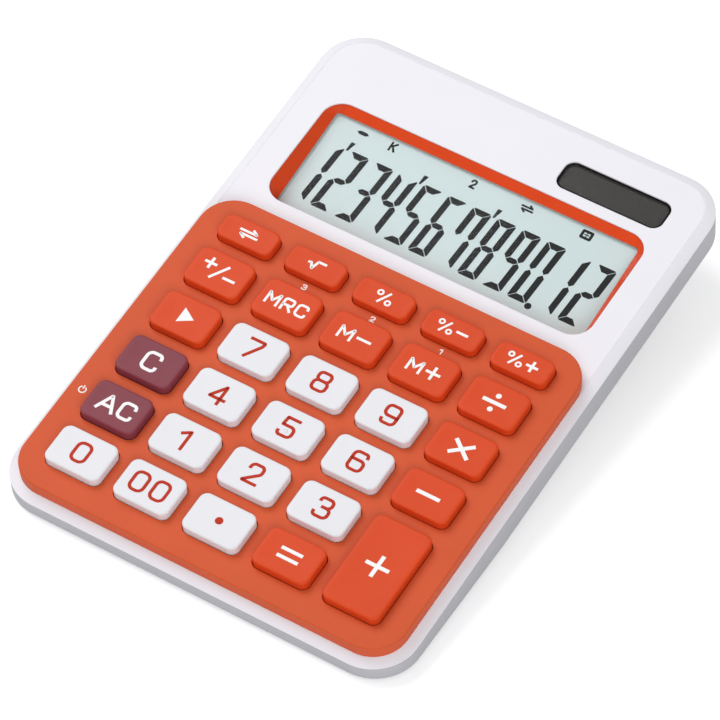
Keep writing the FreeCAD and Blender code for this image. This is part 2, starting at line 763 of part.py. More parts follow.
def make_lower_casing():
    low = -body_depth
    side = plate(*inset_box(0), body_corner, low + bottom_bevel, joint_level)
    bottom = taper(inset_box(bottom_bevel), body_corner - bottom_bevel, low, inset_box(0), body_corner,
                   low + bottom_bevel)
    shape = fuse_all([side, bottom]).cut(below_nose(0.0))
    room = plate(*inset_box(wall), body_corner - wall, floor_top, joint_level).cut(below_nose(nose_floor))
    shape = shape.cut(room)

    adds = []
    cuts = []
    front_feet, rear_feet = foot_places()
    shell = plate(*inset_box(wall / 2), body_corner - wall / 2, low, joint_level)
    for x, y, seat in rear_feet:
        cuts.append(on_desk(leg_block(x, y, leg_wall, foot_proud)))
    for x, y, seat in front_feet:
        cuts.append(on_desk(disc(x, y, foot_radius + foot_gap, -5.0, seat)))

    # posts for the casing screws, seated on the board in the middle and on the bosses at the back
    for x, y in middle_screw_places:
        adds.append(disc(x, y, case_post_radius, nose_level(y + case_post_radius), board_low).cut(below_nose(0.0)))
        cuts.append(disc(x, y, case_head_radius + 0.15, -2 * body_depth, board_low - case_seat_thick))
        cuts.append(disc(x, y, screw_radius + screw_hole_gap, board_low - case_seat_thick, board_low))
    for x, y in corner_screw_places:
        top = -corner_boss_drop
        adds.append(disc(x, y, case_post_radius, low + bottom_bevel, top).common(shell))
        cuts.append(disc(x, y, case_head_radius + 0.15, -2 * body_depth, top - case_seat_thick))
        cuts.append(disc(x, y, screw_radius + screw_hole_gap, top - case_seat_thick, top))
    for x, y in post_places:
        adds.append(disc(x, y, post_radius, low + bottom_bevel, board_low))

    # battery well: ring, ledge round the cover and the cover screw's boss
    x, y = cell_place
    well = disc(x, y, cell_radius + cell_gap + cell_ring, floor_top - 0.5, board_low - strip_thick)
    bore = disc(x, y, cell_radius + cell_gap, floor_top - 0.5, board_low)
    slot = box(x + cell_radius - 1.0, x + cell_radius + 4.0, y - strip_width / 2 - 0.3, y + strip_width / 2 + 0.3,
               cell_low, board_low)
    adds.append(well.cut(bore).cut(slot))
    sx, sy = cover_screw_place()
    adds.append(disc(sx, sy, 2.2, low + cover_plate, floor_top + 2.2))
    cuts.append(disc(sx, sy, screw_radius, low + cover_plate, floor_top + 2.2))
    cuts.append(plate(*cover_box(0), 1.6, low, low + cover_plate))
    cuts.append(disc(x, y, cell_radius + cell_gap, low, floor_top))
    return cut_all(fuse_all([shape] + adds), cuts)


def stand(shape):
    """Leans the body back and sets the desk at z = 0."""
    copy = shape.copy()
    copy.translate(Vector(0, 0, desk_drop))
    copy.rotate(Vector(0, 0, 0), Vector(1, 0, 0), stand_tilt)
    return copy


front_foot_places, rear_foot_places = foot_places()

pieces = {
    "upper_casing": make_upper_casing(),
    "lower_casing": make_lower_casing(),
    "rear_legs": make_rear_legs(),
    "face_panel": make_face_panel(),
    "display_bezel": make_display_bezel(),
    "display_window": make_display_window(),
    "lcd_glass": make_lcd_glass(),
    "lcd_reflector": make_lcd_reflector(),
    "lcd_tray": make_lcd_tray(),
    "lcd_tray_screws": make_tray_screws(),
    "display_ribbon": make_display_ribbon(),
    "solar_window": make_solar_window(),
    "solar_cell": make_solar_cell(),
    "solar_wire_red": make_solar_wire(0),
    "solar_wire_black": make_solar_wire(1),
    "circuit_board": make_circuit_board(),
    "processor_chip": make_processor_chip(),
    "capacitor": make_capacitor(),
    "contact_pads": make_contact_pads(),
    "contact_pills": make_contact_pills(),
    "key_mat": make_key_mat(),
    "button_cell": make_button_cell(),
    "battery_top_contact": make_battery_top_contact(),
    "battery_side_contact": make_battery_side_contact(),
    "battery_cover": make_battery_cover(),
    "battery_cover_screw": make_battery_cover_screw(),
    "board_screws": make_board_screws(),
    "case_screws": make_case_screws(),
    "front_feet": make_feet(front_foot_places),
    "rear_feet": make_feet(rear_foot_places),
}
for key in keys:
    pieces[key[0]] = make_key(*key)

# centre the footprint on the origin, with the desk at z = 0
placed = {name: stand(shape) for name, shape in pieces.items()}
casing_box = placed["upper_casing"].BoundBox
casing_box.add(placed["lower_casing"].BoundBox)
centre_y = (casing_box.YMin + casing_box.YMax) / 2

os.makedirs("parts", exist_ok=True)
for name, shape in placed.items():
    shape.translate(Vector(0, -centre_y, 0))
    shape.exportStep("parts/" + name + ".step")
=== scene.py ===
import bmesh
import bpy
import json
import math
from mathutils import Matrix, Vector
from mathutils.geometry import delaunay_2d_cdt


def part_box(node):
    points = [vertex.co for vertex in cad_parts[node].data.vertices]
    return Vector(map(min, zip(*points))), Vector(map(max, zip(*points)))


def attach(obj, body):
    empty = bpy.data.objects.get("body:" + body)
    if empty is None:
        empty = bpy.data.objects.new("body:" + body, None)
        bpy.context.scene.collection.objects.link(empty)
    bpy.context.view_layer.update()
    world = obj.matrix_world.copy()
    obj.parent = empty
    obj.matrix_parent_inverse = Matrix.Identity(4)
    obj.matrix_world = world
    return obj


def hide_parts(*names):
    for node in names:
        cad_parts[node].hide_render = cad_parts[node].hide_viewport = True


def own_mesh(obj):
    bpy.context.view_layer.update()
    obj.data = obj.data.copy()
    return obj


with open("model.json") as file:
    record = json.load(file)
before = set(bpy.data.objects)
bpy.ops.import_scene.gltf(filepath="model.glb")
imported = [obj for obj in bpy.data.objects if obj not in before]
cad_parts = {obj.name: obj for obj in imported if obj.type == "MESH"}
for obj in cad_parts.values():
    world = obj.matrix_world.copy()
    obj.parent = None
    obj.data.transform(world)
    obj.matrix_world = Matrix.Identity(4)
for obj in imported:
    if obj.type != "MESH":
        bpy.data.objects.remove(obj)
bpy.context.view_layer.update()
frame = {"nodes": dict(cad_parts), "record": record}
print("frame loaded:", len(frame["nodes"]), "nodes")

# All shapes are drawn in millimetres in the body's own frame, which leans back on the desk:
# x to the right, y from the front edge to the back, z up from the white top.
body = {"tilt": 6.6, "deskDrop": 5.145, "seamDrop": 1.35, "cornerRadius": 11.0}
millimetre = 0.001

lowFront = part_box("upper_casing")[0].y / millimetre
frontShift = lowFront + (body["deskDrop"] - body["seamDrop"]) * math.sin(math.radians(body["tilt"]))
bodyPlace = (Matrix.Translation((0, frontShift, 0)) @ Matrix.Rotation(math.radians(body["tilt"]), 4, "X")
             @ Matrix.Translation((0, 0, body["deskDrop"])))
toRow = Matrix.Scale(millimetre, 4) @ bodyPlace
fromRow = toRow.inverted()


# x, y and z range of a CAD node in the body's frame, in millimetres
def bodyBox(node):
    points = [fromRow @ v.co for v in frame["nodes"][node].data.vertices]
    return [(min(p[i] for p in points), max(p[i] for p in points)) for i in range(3)]


# mesh helpers

def onDeck(x, y, z):
    return Vector((x, y, z))


def grown(box, amount):
    return (box[0] - amount, box[1] + amount, box[2] - amount, box[3] + amount)


def roundedLoop(box, radius, steps=10):
    x0, x1, y0, y1 = box
    r = max(radius, 0.01)
    centres = [(x1 - r, y0 + r, -90), (x1 - r, y1 - r, 0), (x0 + r, y1 - r, 90), (x0 + r, y0 + r, 180)]
    loop = []
    for cx, cy, start in centres:
        for i in range(steps + 1):
            a = math.radians(start + 90 * i / steps)
            loop.append((cx + r * math.cos(a), cy + r * math.sin(a)))
    return loop


def circleLoop(x, y, radius, steps=32):
    return [(x + radius * math.cos(2 * math.pi * i / steps), y + radius * math.sin(2 * math.pi * i / steps))
            for i in range(steps)]


def isInside(point, loop):
    x, y = point
    inside = False
    for i in range(len(loop)):
        ax, ay = loop[i]
        bx, by = loop[i - 1]
        if (ay > y) != (by > y) and x < (bx - ax) * (y - ay) / (by - ay) + ax:
            inside = not inside
    return inside


# points and faces of one piece while it is being drawn
class Shell:
    def __init__(self, place=onDeck):
        self.points = []
        self.faces = []
        self.place = place

    def ring(self, loop, z):
        start = len(self.points)
        self.points += [self.place(x, y, z) for x, y in loop]
        return list(range(start, len(self.points)))

    def ringOf(self, points):
        start = len(self.points)
        self.points += list(points)
        return list(range(start, len(self.points)))

    def bridge(self, low, high, closed=True):
        count = len(low)
        for i in range(count if closed else count - 1):
            j = (i + 1) % count
            self.faces.append((low[i], low[j], high[j], high[i]))

    def stack(self, rings):
        for low, high in zip(rings, rings[1:]):
            self.bridge(low, high)

    def fill(self, outer, holes=(), up=True):
        ids = list(outer)
        loops = [[(self.points[i].x, self.points[i].y) for i in outer]]
        for hole in holes:
            ids += hole
            loops.append([(self.points[i].x, self.points[i].y) for i in hole])
        flat = [Vector(p) for loop in loops for p in loop]
        edges = []
        start = 0
        for loop in loops:
            edges += [(start + i, start + (i + 1) % len(loop)) for i in range(len(loop))]
            start += len(loop)
        found, _, triangles, source, _, _ = delaunay_2d_cdt(flat, edges, [], 1, 1e-6)
        for triangle in triangles:
            middle = [sum(found[i][k] for i in triangle) / len(triangle) for k in (0, 1)]
            if not isInside(middle, loops[0]) or any(isInside(middle, hole) for hole in loops[1:]):
                continue
            if not all(source[i] for i in triangle):
                continue
            corners = [ids[source[i][0]] for i in triangle]
            self.faces.append(tuple(corners if up else reversed(corners)))

    def prism(self, loop, low, high):
        base = self.ring(loop, low)
        top = self.ring(loop, high)
        self.bridge(base, top)
        self.faces.append(tuple(top))
        self.faces.append(tuple(reversed(base)))

    def finished(self, name, material, matrix=toRow, sharpAngle=50, evenOut=True):
        mesh = bpy.data.meshes.new(name)
        mesh.from_pydata([matrix @ p for p in self.points], [], self.faces)
        mesh.validate()
        tidy = bmesh.new()
        tidy.from_mesh(mesh)
        bmesh.ops.recalc_face_normals(tidy, faces=tidy.faces)
        tidy.to_mesh(mesh)
        tidy.free()
        piece = bpy.data.objects.new(name, mesh)
        bpy.context.scene.collection.objects.link(piece)
        mesh.polygons.foreach_set("use_smooth", [True] * len(mesh.polygons))
        mesh.set_sharp_from_angle(angle=math.radians(sharpAngle))
        if evenOut:
            weights = piece.modifiers.new("evenShading", "WEIGHTED_NORMAL")
            weights.keep_sharp = True
        mesh.materials.append(material)
        return piece


# inset and drop of the points of a rounded edge, from the wall to the flat
def filletSteps(radius, steps=4):
    points = []
    for i in range(steps + 1):
        a = math.radians(90 * i / steps)
        points.append((radius * (1 - math.cos(a)), radius * (1 - math.sin(a))))
    return points


# materials

def newMaterial(name):
    material = bpy.data.materials.new(name)
    material.use_nodes = True
    tree = material.node_tree
    return material, tree, tree.nodes["Principled BSDF"]


# plastic with faint streaks in its colour and the fine spark texture of a mould
def mouldedPlastic(name, look):
    material, tree, shader = newMaterial(name)
    nodes, links = tree.nodes, tree.links
    coordinates = nodes.new("ShaderNodeTexCoord")
    cloud = nodes.new("ShaderNodeTexNoise")
    cloud.inputs["Scale"].default_value = look.get("cloudScale", 60)
    cloud.inputs["Detail"].default_value = 3
    links.new(coordinates.outputs["Object"], cloud.inputs["Vector"])
    ramp = nodes.new("ShaderNodeValToRGB")
    shade = look.get("variation", 0.04)
    colour = look["colour"]
    ramp.color_ramp.elements[0].position = 0.3
    ramp.color_ramp.elements[1].position = 0.7
    ramp.color_ramp.elements[0].color = [c * (1 - shade) for c in colour] + [1]
    ramp.color_ramp.elements[1].color = [min(1, c * (1 + shade)) for c in colour] + [1]
    links.new(cloud.outputs["Fac"], ramp.inputs["Fac"])
    links.new(ramp.outputs["Color"], shader.inputs["Base Color"])
    grain = nodes.new("ShaderNodeTexNoise")
    grain.inputs["Scale"].default_value = look.get("grainScale", 5200)
    grain.inputs["Detail"].default_value = 2
    links.new(coordinates.outputs["Object"], grain.inputs["Vector"])
    bump = nodes.new("ShaderNodeBump")
    bump.inputs["Strength"].default_value = look.get("grain", 0.12)
    bump.inputs["Distance"].default_value = 0.00004
    links.new(grain.outputs["Fac"], bump.inputs["Height"])
    links.new(bump.outputs["Normal"], shader.inputs["Normal"])
    spread = nodes.new("ShaderNodeMapRange")
    roughness = look["roughness"]
    spread.inputs["To Min"].default_value = roughness - 0.05
    spread.inputs["To Max"].default_value = roughness + 0.05
    links.new(grain.outputs["Fac"], spread.inputs["Value"])
    links.new(spread.outputs["Result"], shader.inputs["Roughness"])
    shader.inputs["Specular IOR Level"].default_value = look.get("gloss", 0.18)
    return material


# thin clear pane that lets the light through and keeps a faint sheen
def clearPlastic(name, look):
    material, tree, shader = newMaterial(name)
    nodes, links = tree.nodes, tree.links
    coordinates = nodes.new("ShaderNodeTexCoord")
    wipe = nodes.new("ShaderNodeTexNoise")
    wipe.inputs["Scale"].default_value = 90
    wipe.inputs["Detail"].default_value = 4
    links.new(coordinates.outputs["Object"], wipe.inputs["Vector"])
    spread = nodes.new("ShaderNodeMapRange")
    spread.inputs["To Min"].default_value = look["roughness"]
    spread.inputs["To Max"].default_value = look["roughness"] + 0.05
    links.new(wipe.outputs["Fac"], spread.inputs["Value"])
    links.new(spread.outputs["Result"], shader.inputs["Roughness"])
    shader.inputs["Base Color"].default_value = look["colour"] + [1]
    shader.inputs["Alpha"].default_value = look["cover"]
    return material


def metal(name, look):
    material, tree, shader = newMaterial(name)
    nodes, links = tree.nodes, tree.links
    coordinates = nodes.new("ShaderNodeTexCoord")
    brushing = nodes.new("ShaderNodeTexNoise")
    brushing.inputs["Scale"].default_value = 1500
    brushing.inputs["Detail"].default_value = 4
    links.new(coordinates.outputs["Object"], brushing.inputs["Vector"])
    ramp = nodes.new("ShaderNodeValToRGB")
    ramp.color_ramp.elements[0].color = [c * 0.85 for c in look["colour"]] + [1]
    ramp.color_ramp.elements[1].color = look["colour"] + [1]
    links.new(brushing.outputs["Fac"], ramp.inputs["Fac"])
    links.new(ramp.outputs["Color"], shader.inputs["Base Color"])
    spread = nodes.new("ShaderNodeMapRange")
    spread.inputs["To Min"].default_value = look["roughness"]
    spread.inputs["To Max"].default_value = look["roughness"] + 0.12
    links.new(brushing.outputs["Fac"], spread.inputs["Value"])
    links.new(spread.outputs["Result"], shader.inputs["Roughness"])
    shader.inputs["Metallic"].default_value = 1
    return material


finishes = {
    "white_plastic": {"colour": [0.86, 0.85, 0.90], "roughness": 0.42, "variation": 0.01},
    "grey_plastic": {"colour": [0.50, 0.50, 0.525], "roughness": 0.45, "variation": 0.02},
    "orange_panel": {"colour": [0.65, 0.098, 0.030], "roughness": 0.5, "variation": 0.03},
    "orange_bezel": {"colour": [0.76, 0.070, 0.012], "roughness": 0.4, "variation": 0.03},
    "orange_key": {"colour": [0.70, 0.066, 0.012], "roughness": 0.42, "variation": 0.03},
    "white_key": {"colour": [0.80, 0.80, 0.84], "roughness": 0.4, "variation": 0.01},
    "purple_key": {"colour": [0.235, 0.048, 0.068], "roughness": 0.42, "variation": 0.05},
    "natural_plastic": {"colour": [0.70, 0.69, 0.62], "roughness": 0.5},
    "lcd_glass": {"colour": [0.69, 0.83, 0.835], "roughness": 0.4, "variation": 0.015, "grain": 0.03,
                  "grainScale": 9000},
    "silver_film": {"colour": [0.62, 0.66, 0.66], "roughness": 0.35},
    "amber_film": {"colour": [0.50, 0.20, 0.03], "roughness": 0.3},
    "solar_glass": {"colour": [0.030, 0.024, 0.022], "roughness": 0.28, "variation": 0.08, "grain": 0.02},
    "red_wire": {"colour": [0.45, 0.02, 0.015], "roughness": 0.4},
    "black_wire": {"colour": [0.015, 0.015, 0.015], "roughness": 0.4},
    "circuit_board": {"colour": [0.02, 0.12, 0.045], "roughness": 0.35, "variation": 0.12},
    "black_epoxy": {"colour": [0.012, 0.012, 0.013], "roughness": 0.2},
    "capacitor_sleeve": {"colour": [0.02, 0.025, 0.10], "roughness": 0.3},
    "carbon_ink": {"colour": [0.02, 0.02, 0.02], "roughness": 0.7},
    "silicone_rubber": {"colour": [0.45, 0.45, 0.45], "roughness": 0.7, "grain": 0.2},
    "black_rubber": {"colour": [0.02, 0.02, 0.021], "roughness": 0.75, "grain": 0.3},
}
metals = {
    "cell_steel": {"colour": [0.55, 0.55, 0.56], "roughness": 0.28},
    "spring_steel": {"colour": [0.62, 0.58, 0.50], "roughness": 0.25},
    "screw_steel": {"colour": [0.42, 0.42, 0.43], "roughness": 0.3},
}
panes = {"clear_acrylic": {"colour": [0.25, 0.27, 0.27], "roughness": 0.05, "cover": 0.05}}

materials = {name: mouldedPlastic(name, look) for name, look in finishes.items()}
materials.update({name: metal(name, look) for name, look in metals.items()})
materials.update({name: clearPlastic(name, look) for name, look in panes.items()})
inks = {
    "whiteInk": {"colour": [0.93, 0.93, 0.93], "roughness": 0.5, "variation": 0.01, "grain": 0.05},
    "redInk": {"colour": [0.50, 0.026, 0.004], "roughness": 0.5, "variation": 0.04, "grain": 0.05},
    "segmentInk": {"colour": [0.004, 0.004, 0.005], "roughness": 0.55, "gloss": 0.05,
                   "variation": 0.1, "grain": 0.02},
}
for inkName, look in inks.items():
    materials[inkName] = mouldedPlastic(inkName, look)

slotOf = {s["node"]: s["material_slot"] for s in frame["record"]["subparts"]}
for node, carried in frame["nodes"].items():
    carried.data.materials.clear()
    carried.data.materials.append(materials[slotOf[node]])
print("materials ready:", len(materials))


# the piece takes the place of a CAD node and moves with its body
def stand(piece, node, ride=None):
    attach(piece, ride or "casing")
    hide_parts(node)
    return piece


# casing

def flat(node, shrink=0.0):
    (x0, x1), (y0, y1), _ = bodyBox(node)
    return grown((x0, x1, y0, y1), -shrink)


# walls of an opening with a rounded upper edge; gives its loops at the underside and at the top
def edgedHole(shell, box, radius, edge, top, low):
    rings = [shell.ring(roundedLoop(box, radius), low)]
    for inset, drop in filletSteps(edge):
        rings.append(shell.ring(roundedLoop(grown(box, inset), radius + inset), top - drop))
    for lower, upper in zip(rings, rings[1:]):
        shell.bridge(upper, lower)
    return rings[0], rings[-1]


openings = {"bezelFlange": 1.5, "bezelCorner": 5.2, "solarMargin": 0.7, "solarCorner": 2.6,
            "panelSeat": 2.6, "panelCorner": 8.5}
bezelOpening = flat("display_bezel", openings["bezelFlange"])
solarOpening = flat("solar_window", openings["solarMargin"])
panelOutline = flat("face_panel")
keypadOpening = grown(panelOutline, -openings["panelSeat"])


def makeUpperCasing():
    look = {"bandWidth": 2.45, "bulge": 0.06, "underInset": 1.95, "thick": 1.6, "edge": 0.22,
            "grooveWidth": 0.16, "grooveDepth": 0.1}
    outline = flat("upper_casing")
    corner = body["cornerRadius"]
    seam = -body["seamDrop"]
    profile = [(0.24, seam), (0.08, seam + 0.04), (0.0, seam + 0.14)]
    for share in (0.12, 0.3, 0.5, 0.7, 0.85):
        rise = (seam + 0.14) * (1 - share) + look["bulge"] * math.sin(math.pi * share)
        profile.append((look["bandWidth"] * share, rise))
    groove = look["bandWidth"]
    profile += [(groove * 0.95, -0.05), (groove, -0.02), (groove + 0.02, -look["grooveDepth"]),
                (groove + look["grooveWidth"], -look["grooveDepth"]),
                (groove + look["grooveWidth"] + 0.03, 0.0)]
    shell = Shell()
    rings = [shell.ring(roundedLoop(grown(outline, -inset), corner - inset, 14), z) for inset, z in profile]
    shell.stack(rings)
    holes = [edgedHole(shell, bezelOpening, openings["bezelCorner"], look["edge"], 0, -look["thick"]),
             edgedHole(shell, solarOpening, openings["solarCorner"], look["edge"], 0, -look["thick"]),
             edgedHole(shell, keypadOpening, openings["panelCorner"] - openings["panelSeat"], 0.1, 0,
                        -look["thick"])]
    shell.fill(rings[-1], [top for _, top in holes])
    inner = roundedLoop(grown(outline, -look["underInset"]), corner - look["underInset"], 14)
    rim = shell.ring(inner, seam)
    under = shell.ring(inner, -look["thick"])
    shell.stack([under, rim, rings[0]])
    shell.fill(under, [low for low, _ in holes], up=False)
    return stand(shell.finished("upperCasing", materials["white_plastic"]), "upper_casing")


makeUpperCasing()

keyLayout = {
    "key_0": "0", "key_00": "00", "key_point": "point", "key_equals": "=", "key_plus": "+",
    "key_all_clear": "AC", "key_1": "1", "key_2": "2", "key_3": "3",
    "key_clear": "C", "key_4": "4", "key_5": "5", "key_6": "6", "key_minus": "-",
    "key_shift_right": "right", "key_7": "7", "key_8": "8", "key_9": "9", "key_times": "x",
    "key_sign": "sign", "key_memory_recall": "MR", "key_memory_minus": "M-", "key_memory_plus": "M+",
    "key_divide": "div",
    "key_memory_swap": "swap", "key_root": "root", "key_percent": "%", "key_rate_minus": "%-",
    "key_rate_plus": "%+",
}
keyLook = {"flange": 0.8, "flangeThick": 0.7, "corner": 2.0, "edgeRound": 0.42, "draft": 0.1, "wall": 1.1,
           "roof": 1.3, "stemRadius": 2.0, "stemStart": -0.2, "visibleGap": 0.17, "dish": 0.06,
           "dotBack": 1.1}
keyTop = bodyBox("key_8")[2][1]
keyBottom = bodyBox("key_8")[2][0]
capBoxes = {node: flat(node, keyLook["flange"]) for node in keyLayout}


def makePanel():
    look = {"edge": 0.4, "holeEdge": 0.16, "thick": 1.5, "wall": 1.6}
    top = bodyBox("face_panel")[2][1]
    under = top - look["thick"]
    corner = openings["panelCorner"]
    shell = Shell()
    rings = [shell.ring(roundedLoop(panelOutline, corner, 14), 0)]
    for inset, drop in filletSteps(look["edge"]):
        rings.append(shell.ring(roundedLoop(grown(panelOutline, -inset), corner - inset, 14), top - drop))
    shell.stack(rings)
    holes = []
    for node in keyLayout:
        box = grown(capBoxes[node], keyLook["visibleGap"])
        holes.append(edgedHole(shell, box, keyLook["corner"] + keyLook["visibleGap"], look["holeEdge"],
                               top, under))
    shell.fill(rings[-1], [upper for _, upper in holes])
    room = roundedLoop(grown(panelOutline, -look["wall"]), corner - look["wall"], 14)
    roof = shell.ring(room, under)
    foot = shell.ring(room, 0)
    shell.stack([roof, foot, rings[0]])
    shell.fill(roof, [low for low, _ in holes], up=False)
    return stand(shell.finished("facePanel", materials["orange_panel"]), "face_panel")


makePanel()
print("casing and panel made")


# keys

def makeKey(node):
    box = capBoxes[node]
    corner = keyLook["corner"]
    shell = Shell()
    draft = keyLook["draft"]
    flangeTop = keyBottom + keyLook["flangeThick"]
    steps = [(-keyLook["flange"], keyBottom), (-keyLook["flange"], flangeTop), (0.0, flangeTop)]
    steps += [(draft * inset / keyLook["edgeRound"] + inset, keyTop - drop)
              for inset, drop in filletSteps(keyLook["edgeRound"], 5)]
    rings = [shell.ring(roundedLoop(grown(box, -inset), corner - inset, 8), z) for inset, z in steps]
    halfSide = min(box[1] - box[0], box[3] - box[2]) / 2
    for part, share in ((0.2, 0.0), (0.32, 0.25), (0.5, 0.7), (0.66, 1.0)):
        inset = halfSide * part
        loop = roundedLoop(grown(box, -inset), max(corner - inset, 0.5), 8)
        rings.append(shell.ring(loop, keyTop - keyLook["dish"] * share))
    shell.stack(rings)
    shell.fill(rings[-1])
    hollow = roundedLoop(grown(box, -keyLook["wall"]), corner - keyLook["wall"], 8)
    mouth = shell.ring(hollow, keyBottom)
    roof = shell.ring(hollow, keyTop - keyLook["roof"])
    shell.bridge(roof, mouth)
    shell.bridge(mouth, rings[0])
    shell.fill(roof, up=False)
    middle = ((box[0] + box[1]) / 2, (box[2] + box[3]) / 2)
    pitch = capBoxes["key_4"][2] - capBoxes["key_1"][2]
    stems = [middle]
    if node == "key_plus":
        stems = [(middle[0], middle[1] - pitch / 2), (middle[0], middle[1] + pitch / 2)]
    for x, y in stems:
        shell.prism(circleLoop(x, y, keyLook["stemRadius"], 20), keyLook["stemStart"],
                    keyTop - keyLook["roof"] + 0.1)
    if node == "key_5":
        dotRings = [shell.ring(circleLoop(middle[0], middle[1] - keyLook["dotBack"], radius, 16),
                               keyTop + rise)
                    for radius, rise in ((0.6, -0.15), (0.56, 0.0), (0.42, 0.1), (0.22, 0.15))]
        shell.stack(dotRings)
        shell.faces.append(tuple(dotRings[-1]))
        shell.faces.append(tuple(reversed(dotRings[0])))
    piece = shell.finished(node + "_cap", materials[slotOf[node]])
    return stand(piece, node, node)


for node in keyLayout:
    makeKey(node)
print("keys made:", len(keyLayout))


# rubber mat: the sheet keeps its holes, and each key gets its own dome and pill
def makeMat():
    look = {"board": -3.1, "sheet": 0.6, "base": 3.6, "crown": 2.3, "height": 2.0, "wall": 0.6, "roof": 1.0,
            "round": 0.22, "pillRadius": 1.4, "pillThick": 0.7, "keep": 0.53}
    top = look["board"] + look["sheet"]
    sheet = bmesh.new()
    sheet.from_mesh(frame["nodes"]["key_mat"].data)
    level = toRow @ Vector((0, 0, top + 0.002))
    upward = (toRow.to_3x3() @ Vector((0, 0, 1))).normalized()
    cut = bmesh.ops.bisect_plane(sheet, geom=sheet.verts[:] + sheet.edges[:] + sheet.faces[:], dist=1e-7,
                                 plane_co=level, plane_no=upward, clear_outer=True)
    rim = [part for part in cut["geom_cut"] if isinstance(part, bmesh.types.BMEdge)]
    bmesh.ops.triangle_fill(sheet, edges=rim, use_beauty=True)
    bmesh.ops.recalc_face_normals(sheet, faces=sheet.faces)
    mesh = bpy.data.meshes.new("keyMatSheet")
    sheet.to_mesh(mesh)
    sheet.free()
    mesh.materials.append(materials["silicone_rubber"])
    piece = bpy.data.objects.new("keyMatSheet", mesh)
    bpy.context.scene.collection.objects.link(piece)
    stand(piece, "key_mat")
    pitch = capBoxes["key_4"][2] - capBoxes["key_1"][2]
    slope = (look["base"] - look["crown"]) / look["height"]
    for node, box in capBoxes.items():
        middle = ((box[0] + box[1]) / 2, (box[2] + box[3]) / 2)
        shifts = (-pitch / 2, pitch / 2) if node == "key_plus" else (0,)
        dome, pill = Shell(), Shell()
        for shift in shifts:
            x, y = middle[0], middle[1] + shift
            crown = look["crown"]
            outer = [(look["base"] + 0.12, 0.0), (look["base"], 0.06), (look["base"] - slope, 1.0),
                     (crown + 0.1, look["height"] - look["round"])]
            outer += [(crown - look["round"] * k / 3, look["height"] - look["round"] * (1 - k / 3) ** 2)
                      for k in (1, 2, 3)]
            roofLevel = look["height"] - look["roof"]
            roofRadius = look["base"] - look["wall"] - slope * roofLevel
            inner = [(roofRadius - 0.15, roofLevel), (roofRadius, roofLevel - 0.1),
                     (look["base"] - look["wall"], 0.0)]
            skin = [dome.ring(circleLoop(x, y, r, 28), top + z) for r, z in outer]
            dome.stack(skin)
            dome.faces.append(tuple(skin[-1]))
            room = [dome.ring(circleLoop(x, y, r, 28), top + z) for r, z in inner]
            dome.stack(room)
            dome.faces.append(tuple(room[0]))
            dome.bridge(room[-1], skin[0])
            pill.prism(circleLoop(x, y, look["pillRadius"], 24), top + roofLevel - look["pillThick"],
                       top + roofLevel)
        for shell, part, slotName, replaced in ((dome, "_dome", "silicone_rubber", "key_mat"),
                                                (pill, "_pill", "carbon_ink", "contact_pills")):
            soft = shell.finished(node + part, materials[slotName], sharpAngle=40, evenOut=False)
            stand(soft, replaced)
            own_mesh(soft)


makeMat()
print("mat made")


# legends, drawn as strokes

